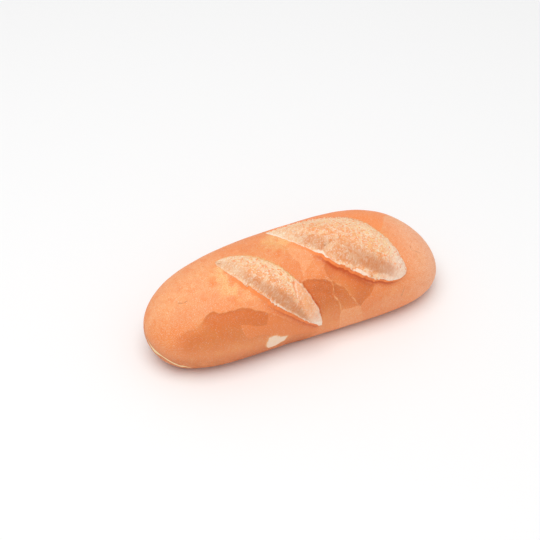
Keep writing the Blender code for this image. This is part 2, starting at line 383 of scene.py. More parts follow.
def rolled_up(rings, sides, place):
    """A closed ball: a flat sheet rolled up about X and drawn together at its two ends.
    place gives each vertex's point, and its UV maps by name, from its shares along and round.
    """
    shape = bmesh.new()
    bmesh.ops.create_grid(shape, x_segments=rings, y_segments=sides, size=0.5)
    shares = np.array([vertex.co for vertex in shape.verts]) + 0.5
    points, maps = place(shares[:, 0], shares[:, 1])
    return remade(shape, points, maps)


def remade(shape, points, maps):
    """A bmesh moved to these points, with its UV maps, closed and facing outwards."""
    mesh = bpy.data.meshes.new("draft")
    shape.to_mesh(mesh)
    mesh.vertices.foreach_set("co", points.astype(np.float32).ravel())
    corners = np.empty(len(mesh.loops), dtype=np.int32)
    mesh.loops.foreach_get("vertex_index", corners)
    for name, values in maps.items():
        layer = mesh.uv_layers.new(name=name)
        layer.data.foreach_set("uv", values[corners].astype(np.float32).ravel())
    shape.clear()
    shape.from_mesh(mesh)
    bpy.data.meshes.remove(mesh)
    bmesh.ops.remove_doubles(shape, verts=shape.verts, dist=WELD)
    bmesh.ops.recalc_face_normals(shape, faces=shape.faces)
    return shape


def tint(red, green, blue):
    """A colour as a screen shows it, 0 to 255 each, as the shader's linear numbers."""
    linear = []
    for part in (red, green, blue):
        part /= 255
        linear.append(part / 12.92 if part < 0.04045 else ((part + 0.055) / 1.055) ** 2.4)
    return (*linear, 1.0)


BAKED = tint(244, 143, 76)
PALE_LEFT = tint(250, 178, 123)
PALE_RIGHT = tint(255, 186, 141)
LOW_FLANK = tint(236, 148, 92)
# Painted shade: a darker orange for where the loaf turns under, along its foot near the table, and
# beside the left bloom's lobe
SHADED_ORANGE = tint(204, 114, 58)
GOLDEN = tint(247, 178, 112)
BLUSH = tint(240, 148, 94)
DEEP = tint(236, 132, 68)
ORANGE = tint(254, 146, 74)
DARK_SKIN = tint(246, 134, 70)
PANEL = tint(228, 201, 161)
CRACK = tint(250, 186, 130)
SPLIT = tint(140, 70, 34)
YELLOW_CRUST = tint(250, 202, 132)
LIP_SHADE = tint(196, 72, 12)
LIP_ORANGE = tint(252, 142, 74)
FLOUR = tint(255, 234, 212)
BARE = tint(250, 222, 196)
SEAM = tint(252, 226, 172)
SHEET_SIDE = tint(229, 160, 104)
ROUGH_NOISE = 0.6            # how much of a cloud's noise is fine
DOT_CORE = 0.5               # share of a dot's radius that is full
DOT_CHOICE = 0.02            # share of the cells whose dot is faint


class Field:
    """A value that varies over a surface. Arithmetic on it adds shader nodes."""

    def __init__(self, finish, socket):
        self.finish = finish
        self.socket = socket

    def maths(self, operation, *values):
        return self.finish.node("Math", {"operation": operation}, dict(enumerate(values)))

    def __add__(self, other):
        return self.maths("ADD", self, other)

    def __radd__(self, other):
        return self.maths("ADD", other, self)

    def __sub__(self, other):
        return self.maths("SUBTRACT", self, other)

    def __rsub__(self, other):
        return self.maths("SUBTRACT", other, self)

    def __mul__(self, other):
        return self.maths("MULTIPLY", self, other)

    def __rmul__(self, other):
        return self.maths("MULTIPLY", other, self)

    def magnitude(self):
        return self.maths("ABSOLUTE", self)

    def larger(self, other):
        return self.maths("MAXIMUM", self, other)

    def smooth(self, low, high):
        """0 at low, 1 at high, whichever is the larger, and a smooth step between."""
        inputs = {"Value": self, "From Min": min(low, high), "From Max": max(low, high)}
        inputs |= {"To Min": float(low > high), "To Max": float(low < high)}
        return self.finish.node("MapRange", {"interpolation_type": "SMOOTHSTEP"}, inputs)

    def fade(self, name):
        """A smooth step between the two values that the finish's table has by this name."""
        return self.smooth(*self.finish.fades[name])

    def between(self, start, full, fading, end):
        """0 at the start, 1 from full to fading, and 0 again at the end."""
        return self.smooth(start, full) * self.smooth(end, fading)

    def varied(self, least, more):
        """The least where this is 0, and so much more where it is 1."""
        return least + self * more


class Finish:
    """A material under construction. All its nodes but the shader come from node()."""

    def __init__(self, name, roughness, colour=None, fades=None):
        self.colour = colour
        self.fades = fades
        self.material = bpy.data.materials.new(name)
        self.material.use_nodes = True
        self.tree = self.material.node_tree
        self.shader = self.tree.nodes["Principled BSDF"]
        self.shader.inputs["Roughness"].default_value = roughness

    def node(self, kind, settings=None, inputs=None, output=0):
        made = self.tree.nodes.new("ShaderNode" + kind)
        for name, value in (settings or {}).items():
            setattr(made, name, value)
        for name, value in (inputs or {}).items():
            self.feed(made.inputs[name], value)
        return Field(self, made.outputs[output])

    def feed(self, socket, value):
        if isinstance(value, Field):
            self.tree.links.new(value.socket, socket)
        else:
            socket.default_value = value

    def connect(self, name, value):
        self.feed(self.shader.inputs[name], value)

    def vector(self, operation, *values, output=0, **named):
        inputs = dict(enumerate(values)) | named
        return self.node("VectorMath", {"operation": operation}, inputs, output)

    def mix(self, factor, colour, other, blend="MIX"):
        settings = {"data_type": "RGBA", "blend_type": blend}
        return self.node("Mix", settings, {0: factor, 6: colour, 7: other}, output=2)

    def millimetres(self, uv_map=None):
        """Places in millimetres, on a UV map or in the object's own space."""
        if uv_map:
            place = self.node("UVMap", {"uv_map": uv_map})
        else:
            place = self.node("TexCoord", output="Object")
        return self.vector("SCALE", place, Scale=PER_METRE)

    def part(self, place, axis):
        return self.node("SeparateXYZ", inputs={0: place}, output=axis)

    def pair(self, uv_map):
        """The two values of a UV map, in millimetres."""
        both = self.millimetres(uv_map)
        return self.part(both, "X"), self.part(both, "Y")

    def noise(self, place, size, detail=1.5, roughness=0.5, output=0):
        inputs = {"Vector": place, "Scale": 1 / size, "Detail": detail, "Roughness": roughness}
        return self.node("TexNoise", inputs=inputs, output=output)

    def clouded(self, colour, place, cloud, where=1.0):
        """A colour with clouds of another: its tint, size, detail, noise levels and strength."""
        other, size, detail, (low, high), strength = cloud
        amount = self.noise(place, size, detail, ROUGH_NOISE).smooth(low, high)
        return self.mix(amount * strength * where, colour, other)

    def cover(self, factor, other, blend="MIX"):
        """Lays another colour over the finish's own."""
        self.colour = self.mix(factor, self.colour, other, blend)

    def cloud(self, place, cloud, where=1.0):
        self.colour = self.clouded(self.colour, place, cloud, where)

    def oval(self, place, middle, reach):
        """Distance from the middle of an oval: 1 at its rim."""
        inputs = {"Vector": place, "Location": (*middle, 0.0), "Scale": (*reach, 1.0)}
        near = self.node("Mapping", {"vector_type": "TEXTURE"}, inputs)
        return self.vector("LENGTH", near, output="Value")

    def along(self, plan, score):
        """Share of the way along a score."""
        start, chord, _ = leaf_axes(score)
        off = self.vector("SUBTRACT", plan, (*(PER_METRE * start), 0.0))
        way = chord / (chord @ chord) / PER_METRE
        return self.vector("DOT_PRODUCT", off, (*way, 0.0), output="Value")

    def dots(self, place, size, radius, share):
        """1 inside small round dots, in this share of cells of a size; radius in cells."""
        core = radius * DOT_CORE
        inputs = {"Vector": place, "Scale": 1 / size}
        near = self.node("TexVoronoi", inputs=inputs, output="Distance")
        pick = self.part(self.node("TexVoronoi", inputs=inputs, output="Color"), "X")
        return near.smooth(radius, core) * pick.smooth(share, share - DOT_CHOICE)

    def bump(self, height, strength, distance):
        return self.node("Bump", inputs={"Height": height, "Strength": strength, "Distance": distance})


# Layers of colour on the crust, with all sizes in millimetres. A cloud is its tint, size,
# detail, the noise levels at which it starts and is full, and its strength.
GOLD_CLOUDS = (GOLDEN, 17.0, 3.0, (0.45, 0.70), 0.30)
BLUSH_CLOUDS = (BLUSH, 6.0, 4.0, (0.42, 0.70), 0.40)
MOTTLES = (DEEP, 2.4, 3.0, (0.52, 0.72), 0.30)
GRAIN_SIZE = 0.62
DARK_GRAIN = (0.52, 0.28, 0.85)      # noise levels from none to full, and strength
PALE_GRAIN = (0.48, 0.84, 0.62)
BARE_CLOUDS = (YELLOW_CRUST, 1.6, 3.0, (0.48, 0.72), 0.35)
SHEET_MARKS = (LOW_FLANK, 4.0, 4.0, (0.35, 0.70), 1.0)
PALE_DOTS = ((1.5, 0.17, 0.35, 0.14), (2.9, 0.11, 0.16, 0.36))   # cell, radius, share, strength
PORES = (3.4, 0.10, 0.35, 0.35)
GLOWS = (                    # tint, middle and reach on the plan, strength
    (PALE_LEFT, (-78.0, -4.0), (44.0, 34.0), 0.85),
    (PALE_LEFT, (-22.0, 3.0), (26.0, 20.0), 0.40),
    (LOW_FLANK, (-79.0, 21.0), (15.0, 13.0), 0.60),
    (DEEP, (16.0, 20.0), (18.0, 15.0), 0.65),
    (YELLOW_CRUST, (-50.0, 8.0), (8.0, 18.0), 0.75),
    (YELLOW_CRUST, (-42.0, 23.0), (12.0, 10.0), 0.40),
    (YELLOW_CRUST, (-4.0, -7.0), (13.0, 12.0), 0.70),
    (PALE_LEFT, (-64.0, 52.0), (22.0, 16.0), 0.22),
    (PALE_LEFT, (-38.0, 30.0), (14.0, 8.0), 0.35),
    (PALE_RIGHT, (65.0, 65.0), (24.0, 14.0), 0.28),
    # painted shadow of the left bloom's proud lobe, on the panel just behind it
    (SHADED_ORANGE, (11.0, 41.0), (14.0, 14.0), 0.42),
)
# Where along a score painted shade lies on the crust below its lip, how much darker that is close
# to the lip, where the lip is orange and how far down, and where painted shadow of a proud lobe
# falls on the skin behind the score.
SHADES = {
    "left": {"under": (0.38, 0.74, 0.97, 1.01), "deepest": 0.30,
             "lip": (0.14, 0.28, 0.97, 1.00), "lip_reach": (1.7, 2.7),
             "behind": (0.56, 0.64, 0.88, 0.97), "behind_strength": 0.95},
    "right": {"under": (0.30, 0.50, 0.90, 1.02), "deepest": 0.45,
              "lip": (0.20, 0.34, 0.97, 1.00), "lip_reach": (1.1, 2.0),
              "behind": (0.02, 0.10, 0.90, 1.00), "behind_strength": 0.0},
}
# Where a layer starts and where it is full. These are millimetres along X, round the loaf,
# out from a line or outline, or up from the table. A glow's are shares of its oval, tone's
# are a cell's random value, and broken's are levels of a noise.
FADES = {
    "right end": (58.0, 98.0), "flank": (30.0, 70.0), "off the right end": (82.0, 50.0),
    "under": (62.0, 82.0), "left half": (10.0, -12.0), "glow": (1.35, 0.35),
    "top": (0.5, -0.5), "dark": (0.25, -0.25), "soft dark": (5.0, -9.0),
    "left end": (-68.0, -80.0), "front": (46.0, 70.0), "off the left tip": (-106.0, -84.0),
    "warm": (0.3, -0.3), "lip side": (0.4, -0.4), "right of the left score": (20.0, 38.0),
    "browner": (0.3, -0.3), "pale": (0.3, -0.2), "outline": (0.9, 0.2),
    "off the left end": (-80.0, -68.0),
    "crack": (0.50, 0.10), "tone": (0.45, 0.80), "back": (-24.0, -34.0),
    "cell rim": (0.6, 0.15), "close to the lip": (5.0, 2.0), "past the edge": (-1.0, -0.5),
    "behind": (2.2, 0.2), "edge rim": (1.1, 0.3), "peeled": (0.6, -0.7),
    "round the bare patch": (1.6, -0.4), "seam": (2.1, 0.7), "foot": (7.5, 5.0),
    "sheet side": (0.6, 0.2), "broken": (0.40, 0.60),
}
UNDER_LIP = (-1.5, -0.5, 1.5, 8.5)         # out from the lower edge
RIM_ALONG = (0.0, 0.05, 0.93, 1.0)         # along a score
# How far a layer covers what is under it. A pair is its least strength, and how much more
# it has where the crust is broken, near the lip or to the right.
STRENGTHS = {
    "flank": 0.85, "top": 0.75, "front": 0.92, "dark in warm": 0.5, "warm": 0.55,
    "browner": 0.25, "pale": 0.45, "grain in dark": 0.4, "outline": 0.30, "split": 0.60,
    "tone": 0.5, "cell rim": 0.55, "edge rim": 0.5, "round the bare patch": 0.4, "foot": 0.6,
}
NEAR_LIP = (0.5, 0.5)
CRACKED = (0.20, 0.45)
SPLIT_OPEN = (0.3, 0.7)
LIP_EDGE = (0.75, 0.25)
UNDER_LEAST = 0.42
RELIEF = {"leather": 2.0, "crack": 0.5, "split": 2.0, "pores": 0.8, "peeled": 2.0}
MID_GREY = (0.5, 0.5, 0.5)                 # the mean of a noise's colour
GLOW_DRIFT = 5.0                           # how far the glows stray, and the cells
CELL_DRIFT = 4.0
CELL_SIZE = 27.0                           # of the panels on the back
PEEL_WAVER = 2.0                           # how far the bare patch's rim strays, and the foot's
FOOT_WAVER = 5.0
CRUST_SPECULAR = 0.35
SHINE = (0.46, 0.22)                       # least roughness of the skin, and how much more
PEELED_DULLER = 0.2


def crust_finish():
    """Baked skin: orange round the middle, paler at the ends, sunk into darker panels; shade is painted
    in the panels, under the lips and low down.
    """
    finish = Finish("crust", roughness=0.55, colour=BAKED, fades=FADES)
    finish.shader.inputs["Specular IOR Level"].default_value = CRUST_SPECULAR
    plan = finish.millimetres("plan")
    place = finish.millimetres()
    x = finish.part(plan, "X")
    girth = finish.part(plan, "Y")
    height = finish.part(place, "Z")
    dark, cracks = finish.pair("dark_cracks")
    lip_side, warm = finish.pair("lip_warm")
    pale, bare = finish.pair("pale_bare")
    splits, seam = finish.pair("splits_seam")
    top, browner = finish.pair("top_browner")
    drift = finish.vector("SUBTRACT", finish.noise(place, size=9.0, output="Color"), MID_GREY)
    wavy = finish.vector("ADD", plan, finish.vector("SCALE", drift, Scale=GLOW_DRIFT))
    broken = finish.noise(place, size=3.0, detail=3.0).fade("broken")

    finish.cover(x.fade("right end"), PALE_RIGHT)
    flank = girth.magnitude()
    low_flank = flank.fade("flank") * x.fade("off the right end")
    finish.cover(low_flank * STRENGTHS["flank"], LOW_FLANK)
    # Painted shade on the left half's underside, where the crust turns under towards the table
    turned = flank.fade("under") * x.fade("left half")
    finish.cover(turned, SHADED_ORANGE)
    for glow, middle, reach, strength in GLOWS:
        near = finish.oval(wavy, middle, reach).fade("glow")
        finish.cover(near * strength, glow)
    finish.cloud(place, GOLD_CLOUDS)
    finish.cloud(place, BLUSH_CLOUDS)

    finish.cover(top.fade("top") * STRENGTHS["top"], ORANGE)
    # Dark panels: partly a browner tone, partly painted shade where dented facets turn from the light;
    # crisp-edged, softer at the left end and fading lower down the front
    crisp = dark.fade("dark")
    sunk = crisp + (dark.fade("soft dark") - crisp) * x.fade("left end")
    fading = 1 - girth.fade("front") * STRENGTHS["front"]
    fading = fading * x.fade("off the left tip")
    in_warm = warm.fade("warm")
    panel_tone_and_shade = sunk * fading * (1 - in_warm * STRENGTHS["dark in warm"])
    finish.cover(panel_tone_and_shade, PANEL, "MULTIPLY")
    # The panel below the right score's lip, darkened the same way: partly a browner tone, partly
    # painted shade
    near_lip = lip_side.fade("lip side")
    near_lip = near_lip * x.fade("right of the left score").varied(*NEAR_LIP)
    finish.cover(near_lip, PANEL, "MULTIPLY")
    finish.cover(in_warm * STRENGTHS["warm"], DEEP)
    brown = browner.fade("browner") * STRENGTHS["browner"]
    finish.cover(brown, PANEL, "MULTIPLY")
    finish.cover(pale.fade("pale") * STRENGTHS["pale"], PALE_LEFT)

    finish.cloud(place, MOTTLES)
    for size, radius, share, strength in PALE_DOTS:
        finish.cover(finish.dots(place, size, radius, share) * strength, FLOUR)
    size, radius, share, strength = PORES
    pores = finish.dots(place, size, radius, share)
    finish.cover(pores * strength, LIP_SHADE)
    grain = finish.noise(place, GRAIN_SIZE, detail=2.5, roughness=ROUGH_NOISE)
    in_dark = sunk.larger(lip_side.fade("lip side"))
    for speck, (low, high, strength) in ((DARK_SKIN, DARK_GRAIN), (FLOUR, PALE_GRAIN)):
        amount = grain.smooth(low, high) * (1 - in_dark * STRENGTHS["grain in dark"])
        finish.cover(amount * strength, speck)

    outline = dark.magnitude().fade("outline") * fading
    outline = outline * x.fade("off the left end") * STRENGTHS["outline"]
    finish.cover(outline * broken, CRACK)
    crack = cracks.fade("crack")
    finish.cover(crack * broken.varied(*CRACKED), CRACK)
    split = splits.fade("crack") * broken.varied(*SPLIT_OPEN)
    finish.cover(split * STRENGTHS["split"], SPLIT)

    strayed = finish.vector("ADD", place, finish.vector("SCALE", drift, Scale=CELL_DRIFT))
    cells = {"Vector": strayed, "Scale": 1 / CELL_SIZE}
    rims = finish.node("TexVoronoi", {"feature": "DISTANCE_TO_EDGE"}, cells) * CELL_SIZE
    tone = finish.part(finish.node("TexVoronoi", inputs=cells, output="Color"), "X")
    back = girth.fade("back")
    browned = tone.fade("tone") * back * STRENGTHS["tone"]
    finish.cover(browned, PANEL, "MULTIPLY")
    rimmed = rims.fade("cell rim") * back * broken
    finish.cover(rimmed * STRENGTHS["cell rim"], CRACK)

    for side, score in SCORES.items():
        shades = SHADES[side]
        across, beyond = finish.pair(side)
        u = finish.along(plan, score)
        below = across * -1.0
        under = below.between(*UNDER_LIP) * u.between(*shades["under"])
        under = under * below.fade("close to the lip").varied(UNDER_LEAST, shades["deepest"])
        finish.cover(under, LIP_SHADE)
        lip = below.between(*FADES["past the edge"], *shades["lip_reach"])
        lip = lip * u.between(*shades["lip"])
        finish.cover(lip * broken.varied(*LIP_EDGE), LIP_ORANGE)
        # Painted shadow of the left bloom's proud lobe on the skin just behind its upper edge; none on
        # the right score
        behind = beyond.fade("behind") * beyond.fade("past the edge")
        behind = behind * u.between(*shades["behind"]) * shades["behind_strength"]
        finish.cover(behind, LIP_SHADE)
        rim = beyond.fade("edge rim") * beyond.fade("past the edge")
        rim = rim * u.between(*RIM_ALONG)
        finish.cover(rim * broken * STRENGTHS["edge rim"], YELLOW_CRUST)

    peeled = bare + finish.noise(place, size=1.3, detail=3.0) * PEEL_WAVER - PEEL_WAVER / 2
    peeled = peeled.fade("peeled")
    crumbs = finish.clouded(BARE, place, BARE_CLOUDS)
    halo = bare.fade("round the bare patch") * STRENGTHS["round the bare patch"]
    finish.cover(halo, YELLOW_CRUST)
    finish.cover(peeled, crumbs)
    finish.cover(seam.fade("seam"), SEAM)
    # Painted shade along the foot of the loaf, darker low down near the table, with a wavering top
    low = height + finish.noise(place, size=5.0, detail=3.0) * FOOT_WAVER
    finish.cover(low.fade("foot") * STRENGTHS["foot"], SHADED_ORANGE)
    sheet_side = finish.clouded(SHEET_SIDE, place, SHEET_MARKS)
    finish.cover(height.fade("sheet side"), sheet_side)
    finish.connect("Base Color", finish.colour)

    shine = finish.noise(place, size=9.0, detail=2.0)
    roughness = shine.varied(*SHINE) + peeled * PEELED_DULLER
    finish.connect("Roughness", roughness)
    leather = finish.noise(place, size=3.2, detail=3.0)
    relief = grain + leather * RELIEF["leather"] - crack * RELIEF["crack"]
    relief = relief - split * RELIEF["split"] - pores * RELIEF["pores"] - peeled * RELIEF["peeled"]
    bump = finish.bump(relief, strength=0.3, distance=0.00025)
    finish.connect("Normal", bump)
    return finish.material


TORN_SPECKS = (0.35, 0.65)                 # levels of a noise


def torn_finish():
    """The broken edge of the crust, down in a score: bare crumb dusted with flour."""
    finish = Finish("torn edge", roughness=0.75, colour=LIP_ORANGE)
    speck = finish.noise(finish.millimetres(), size=0.8)
    finish.cover(speck.smooth(*TORN_SPECKS), FLOUR)
    finish.connect("Base Color", finish.colour)
    return finish.material


def make_body(material):
    """The loaf before its scores, on its flat base."""

    def place(along, round):
        v = 2 * along - 1
        t = ((END_CROWDING + 1) * v - v ** (END_CROWDING + 1)) / END_CROWDING
        angle = (2 * round - 0.5) * math.pi
        crowding, closest = SIDE_CROWDING
        turn = angle - crowding * (np.sin(angle - closest) + math.cos(closest))
        spot = np.column_stack([t * LENGTH / 2, (turn - math.pi / 2) * GIRTH_RADIUS])
        maps = {"plan": spot} | panels(spot)
        for side, score in SCORES.items():
            u, across = leaf_place(score, spot)
            maps[side] = np.column_stack([across, across - leaf_width(score, u)])
        return crust(spot, lips(spot)), maps

    shape = rolled_up(BODY_RINGS, BODY_SIDES, place)
    everything = shape.verts[:] + shape.edges[:] + shape.faces[:]
    bmesh.ops.bisect_plane(shape, geom=everything, plane_co=(0, 0, 0), plane_no=(0, 0, -1),
                           dist=ON_THE_TABLE, clear_outer=True)
    rim = [edge for edge in shape.edges if edge.is_boundary]
    bmesh.ops.contextual_create(shape, geom=rim)
    bmesh.ops.recalc_face_normals(shape, faces=shape.faces)
    return mesh_object("crust", shape, material)


def make_pocket(side, score, material):
    """The space that a score tore open: a ragged leaf with upright walls."""
    shape = bmesh.new()
    bmesh.ops.create_cube(shape, size=1.0)
    spans = {edge: edge.verts[0].co.x - edge.verts[1].co.x for edge in shape.edges}
    long_edges = [edge for edge, span in spans.items() if abs(span) > 0.5]
    bmesh.ops.subdivide_edges(shape, edges=long_edges, cuts=POCKET_STEPS, use_grid_fill=True)
    co = np.array([vertex.co for vertex in shape.verts])
    u = (1 - np.cos(math.pi * (co[:, 0] + 0.5))) / 2
    spot = leaf_spot(score, u, np.where(co[:, 1] > 0, leaf_width(score, u), 0.0))
    level = np.where(co[:, 2] > 0, POCKET_HEIGHT, -POCKET_DEPTH)
    pocket = remade(shape, crust(spot, level), {"plan": spot})
    return mesh_object("pocket_" + side, pocket, material)


def fanned(mesh, slot):
    """Splits a mesh's many-cornered faces of one material slot into fans of triangles."""
    shape = bmesh.new()
    shape.from_mesh(mesh)
    walls = [face for face in shape.faces if face.material_index == slot]
    walls = [face for face in walls if len(face.verts) > 4]
    bmesh.ops.poke(shape, faces=walls)
    shape.to_mesh(mesh)
    shape.free()


def cut(body, pockets):
    """Takes the pockets out of the body, and removes them."""
    for pocket in pockets:
        taking = body.modifiers.new("tear", "BOOLEAN")
        taking.operation = "DIFFERENCE"
        taking.solver = "MANIFOLD"
        taking.material_mode = "TRANSFER"
        taking.object = pocket
    depsgraph = bpy.context.evaluated_depsgraph_get()
    torn = bpy.data.meshes.new_from_object(body.evaluated_get(depsgraph))
    body.modifiers.clear()
    fanned(torn, slot=1)
    body.data = torn
    for pocket in pockets:
        bpy.data.objects.remove(pocket, do_unlink=True)


SHARP_EDGE = math.radians(50)
crust_body = make_body(crust_finish())
torn_crumb = torn_finish()
cut(crust_body, [make_pocket(side, score, torn_crumb) for side, score in SCORES.items()])
crust_body.data.name = "crust"
crust_body.data.shade_smooth()
crust_body.data.set_sharp_from_angle(angle=SHARP_EDGE)
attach(crust_body, "root")
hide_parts("loaf")

# ----------------------------------------
# The blooms. Where a score tore open in the oven the soft crumb swelled out of it, dried
# and browned only a little: two pale pillows, stretched into strands along their lower
# side, speckled orange above, each rooted in its pocket of the crust.
# ----------------------------------------
# Tables run along a bloom: pairs of (share of the way, value). A crease is a table of the
# share across against the share along, with how deep, how wide and how much lower one side is.
BLOOMS = {
    "left": {
        "height": (0.0039, 0.75, 0.45),
        "crease": ((0.22, 0.86), (0.37, 0.75), (0.58, 0.64), (0.80, 0.585), (1.00, 0.565)),
        "crease_ends": (0.25, 0.65, 1.10, 1.20),
        "crease_size": (0.36, 0.0012, 0.26),
        "upper_slopes": (0.80, 0.30, 0.62),
        # the brown band below, partly painted shade: its strength along the bloom, then its lower and
        # upper lines
        "band": ((0.02, 0.3), (0.22, 0.4), (0.32, 0.8), (0.50, 1.0), (0.80, 1.0), (0.90, 0.2)),
        "band_low": ((0.0, 0.05), (1.0, 0.05)),
        "band_top": ((0.05, 0.55), (0.20, 0.45), (0.30, 0.34), (0.42, 0.36), (0.60, 0.52),
                     (0.75, 0.36), (0.85, 0.25)),
        "tear": ((0.0, 0.3), (3.0, 1.6), (5.7, 2.4)),
        "flour": ((0.40, 0.0), (0.54, 1.0), (0.57, 1.4), (0.64, 0.9), (0.68, 0.1), (0.76, 0.1),
                  (0.80, 0.9), (0.87, 1.0), (0.92, 3.0), (1.00, 4.5)),
        "lobe": 1.0,
    },
    "right": {
        "height": (0.0043, 0.95, 0.42),
        "crease": ((0.08, 0.40), (0.21, 0.42), (0.29, 0.44), (0.35, 0.46), (0.42, 0.49)),
        "crease_ends": (0.02, 0.10, 0.40, 0.50),
        "crease_size": (0.42, 0.0009, 0.12),
        "upper_slopes": (0.75, 0.60, 0.60),
        # the brown band below, partly painted shade: its strength along the bloom, then its lower and
        # upper lines
        "band": ((0.18, 0.0), (0.30, 0.6), (0.40, 0.7), (0.45, 0.25), (0.52, 0.5), (0.66, 0.95),
                 (0.88, 1.1), (0.96, 0.0)),
        "band_low": ((0.50, 0.04), (0.62, 0.06), (0.68, 0.12)),
        "band_top": ((0.30, 0.34), (0.55, 0.40), (0.85, 0.48)),
        "tear": ((20.0, 9.0), (22.0, 11.0)),
        "flour": ((0.00, 2.0), (0.15, 0.8), (0.35, 0.3), (0.39, 2.6), (0.43, 2.0), (0.47, 0.4),
                  (0.63, 0.2), (0.66, 3.0), (0.71, 2.4), (0.75, 0.6), (0.90, 1.0), (1.00, 2.0)),
        "lobe": 0.0,
    },
}
BLOOM_RINGS = 260
BLOOM_SIDES = 180
EVEN_RINGS = 0.5             # how evenly a bloom's rings stand, the rest crowding to the tips
BLOOM_ROOT = 0.0056          # how deep a bloom reaches under the crust
BLOOM_TUCK = 0.0012          # how far a bloom goes under the crust at its edges
BLOOM_CLOSES = 0.999         # share of the way round from which a bloom is its own underside
BLOOM_TIP = 0.01             # taper at which a bloom's rings have shrunk to a point
TUCK_DEPTH = 0.0030
TUCK_POWER = 0.7             # below 1 it turns under steeply at first
LOWER_SLOPE = 0.52           # a bloom falls steeply towards its lip
FOOT_SHARE = 0.75            # and meets it so far up the lip
FOOT_REACH = 0.0024
SLOPE_CHANGE = 0.03          # share of the way over which its upper slope changes
LUMPS = ((0.007, 0.00050), (0.0026, 0.00026))        # (size, height)
GRAIN = (0.0011, 0.00030)
GRAIN_SHARES = (0.3, 0.7)    # how much of the grain is everywhere, and on its upper side
GRAIN_STARTS = (0.3, 0.6)    # shares of the way up between which the rest sets in
STRANDS = ((0.0007, 0.005), 0.00007)                 # (width, length), height
BAND_FOOT = (-0.03, 0.06)    # edges of the brown band, from its lines in the tables
BAND_TOP = (-0.15, 0.08)
LOBE_EDGE = (-0.0008, 0.0016)
FAR_OFF = 1.0                # a distance at which a crease no longer shows


def tabled(table, value):
    return np.interp(value, *zip(*table))


def smooth_step(value, low, high):
    share = np.clip((value - low) / (high - low), 0.0, 1.0)
    return share * share * (3 - 2 * share)


def from_crease(score, bloom, u, share):
    """Distance to the right of a bloom's crease, and how much of the crease there is here."""
    length = np.hypot(*leaf_axes(score)[1])
    start, full, fading, end = bloom["crease_ends"]
    there = smooth_step(share, start, full) * (1 - smooth_step(share, fading, end))
    return (u - tabled(bloom["crease"], share)) * length, there


def bloom_height(score, bloom, u, across, spot):
    """Height of the bloomed crumb over the crust."""
    width = leaf_width(score, u)
    share = across / width
    w = np.clip(2 * share - 1, -1, 1)
    gentle, steep, change = bloom["upper_slopes"]
    upper = gentle + (steep - gentle) / (1 + np.exp((change - u) / SLOPE_CHANGE))
    bulge = np.maximum(1 - w * w, 0.0)
    height = humped(bloom["height"], u) * bulge ** np.where(w < 0, LOWER_SLOPE, upper)
    depth, reach, step = bloom["crease_size"]
    right, there = from_crease(score, bloom, u, share)
    height *= 1 - there * step / (1 + np.exp(right / reach))
    height *= 1 - there * depth * np.exp(-(right / reach) ** 2)
    full = np.sqrt(bulge)
    for size, amount in LUMPS:
        height += amount * full * rough(on_plan(spot), size)
    size, amount = GRAIN
    everywhere, above = GRAIN_SHARES
    grainy = everywhere + above * smooth_step(share, *GRAIN_STARTS)
    height += amount * full * grainy * rough(on_plan(spot), size)
    (fine, long), amount = STRANDS
    length = np.hypot(*leaf_axes(score)[1])
    strands = rough(np.column_stack([u * length / fine, across / long, 0 * u]), 1.0)
    height += amount * np.clip(0.5 - w, 0, 1) * full * strands
    height += FOOT_SHARE * lip_crest(score, u) * np.exp(-np.abs(across) / FOOT_REACH)
    outside = np.maximum(-across, across - width) / BLOOM_TUCK
    return height - TUCK_DEPTH * np.clip(outside, 0, 1) ** TUCK_POWER


CREAM = tint(255, 226, 184)
CRUMB = tint(246, 160, 96)
HONEY = tint(255, 208, 138)
LOBE = tint(250, 172, 120)
PALE_CRUMB = tint(255, 240, 222)
TIP_CRUMB = tint(255, 228, 206)
FRECKLE = tint(252, 140, 68)
# A grey brown for a bloom's dark strands, and for the band on its lower slope, which is partly painted
# shade
STRAND_BROWN_AND_SHADE = tint(204, 124, 74)
BROWN = tint(160, 96, 54)
BLOOM_CLOUDS = (CREAM, 5.0, 3.0, (0.42, 0.62), 0.60)
HONEY_CLOUDS = (HONEY, 3.5, 3.0, (0.50, 0.64), 0.60)
FRECKLES = (FRECKLE, 1.8, 4.0, (0.455, 0.645), 0.92)
FLECKS = (PALE_CRUMB, 1.1, 3.0, (0.47, 0.70), 0.70)
RIM_CRACKS = (BROWN, 1.6, 4.0, (0.57, 0.66), 0.7)
# Shares of the way along the bloom or up from its lip, but millimetres from a crease or the
# flour's edge, and levels of a noise for the strands, patches and broken.
BLOOM_FADES = {
    "risen": (0.45, 0.80), "back tip": (0.34, 0.12), "honey": (0.30, 0.60),
    "low": (0.62, 0.35), "low back tip": (0.30, 0.12), "pale strand": (0.48, 0.70),
    "dark strand": (0.50, 0.30), "front tip": (0.76, 0.92), "freckled": (0.28, 0.58),
    "off the back tip": (0.03, 0.16), "patches": (0.30, 0.56), "flour": (-0.5, 0.9),
    "top": (0.925, 0.975), "off the front tip": (1.0, 0.6), "lobe top": (0.90, 0.97),
    "crease_highlight": (1.9, 0.5), "round": (2.2, 0.6), "fold_shade": (0.8, 0.1),
    "broken": (0.40, 0.60), "below": (0.55, 0.45),
}
BESIDE_RISE = (0.50, 0.60, 0.86, 0.95)     # how far up the marks by a crease lie
ROUND_RISE = (0.55, 0.68, 0.84, 0.93)
BLOOM_STRENGTHS = {
    "risen": 0.60, "back tip": 0.45, "lobe": 0.8, "band": 0.75, "pale strand": 0.28,
    "dark strand": 0.24, "front tip": 0.75, "band at tip": 0.4, "freckles on lobe": 0.6,
    "flecks on band": 0.8, "flecks on lobe": 0.35, "flour": 0.85, "top": 0.7,
    "lobe top": 0.8, "crease_highlight": 0.75, "round": 0.6, "fold_shade": 0.6,
}
